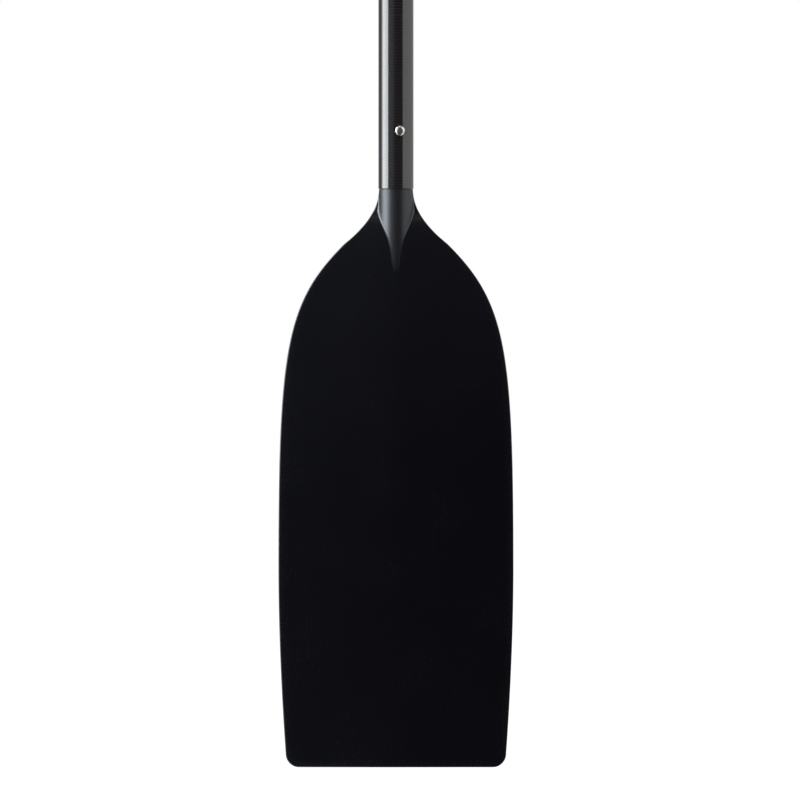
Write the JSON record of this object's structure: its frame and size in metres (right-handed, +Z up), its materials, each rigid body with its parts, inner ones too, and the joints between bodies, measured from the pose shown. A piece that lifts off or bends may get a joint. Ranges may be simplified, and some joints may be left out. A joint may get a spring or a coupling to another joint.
{
  "type": "canoe paddle",
  "caption": "Take-apart canoe paddle with a wide square-tipped blade, a round wound shaft with snap-button ferrule joints, and a T-grip.",
  "frame": {"origin": "on the shaft's axis at the seam between the blade's neck and the shaft, which is where a rack's clip or a hand holds the throat", "axes": "+Z up the shaft towards the T-grip, -Y out of the blade's power face, +X to the right when the power face is seen"},
  "size_m": [0.2032, 0.0345, 1.448],
  "materials": {
    "blade_plastic": "satin",
    "wound_carbon": "gloss",
    "ferrule_laminate": "satin",
    "cap_plastic": "satin",
    "bulkhead_foam": "matte",
    "spring_steel": "satin",
    "button_steel": "polished",
    "grip_plastic": "satin"
  },
  "bodies": {
    "blade": {"blade": "blade_plastic", "blade_ferrule": "ferrule_laminate", "blade_ferrule_cap": "cap_plastic", "lower_spring_clip": "spring_steel"},
    "lower_button": {"lower_snap_button": "button_steel"},
    "shaft": {"shaft_tube": "wound_carbon", "shaft_bulkhead": "bulkhead_foam", "shaft_ferrule": "ferrule_laminate", "shaft_ferrule_cap": "cap_plastic", "upper_spring_clip": "spring_steel"},
    "upper_button": {"upper_snap_button": "button_steel"},
    "grip": {"grip_tube": "wound_carbon", "grip_bulkhead": "bulkhead_foam", "t_grip": "grip_plastic"}
  },
  "joints": [
    {"name": "lower_button_press", "type": "slide", "parent": "blade", "child": "lower_button", "axis": [-0.225, 0.9744, 0], "range_m": [0, 0.0057], "stiffness_N_per_m": 2500, "springref_m": -0.004, "deforming": ["lower_spring_clip"]},
    {"name": "shaft_pull", "type": "slide", "parent": "blade", "child": "shaft", "axis": [0, 0, 1], "range_m": [0, 0.104], "deforming": ["lower_snap_button"]},
    {"name": "upper_button_press", "type": "slide", "parent": "shaft", "child": "upper_button", "axis": [-0.225, 0.9744, 0], "range_m": [0, 0.0057], "stiffness_N_per_m": 2500, "springref_m": -0.004, "deforming": ["upper_spring_clip"]},
    {"name": "grip_pull", "type": "slide", "parent": "shaft", "child": "grip", "axis": [0, 0, 1], "range_m": [0, 0.104], "deforming": ["upper_snap_button"]}
  ]
}
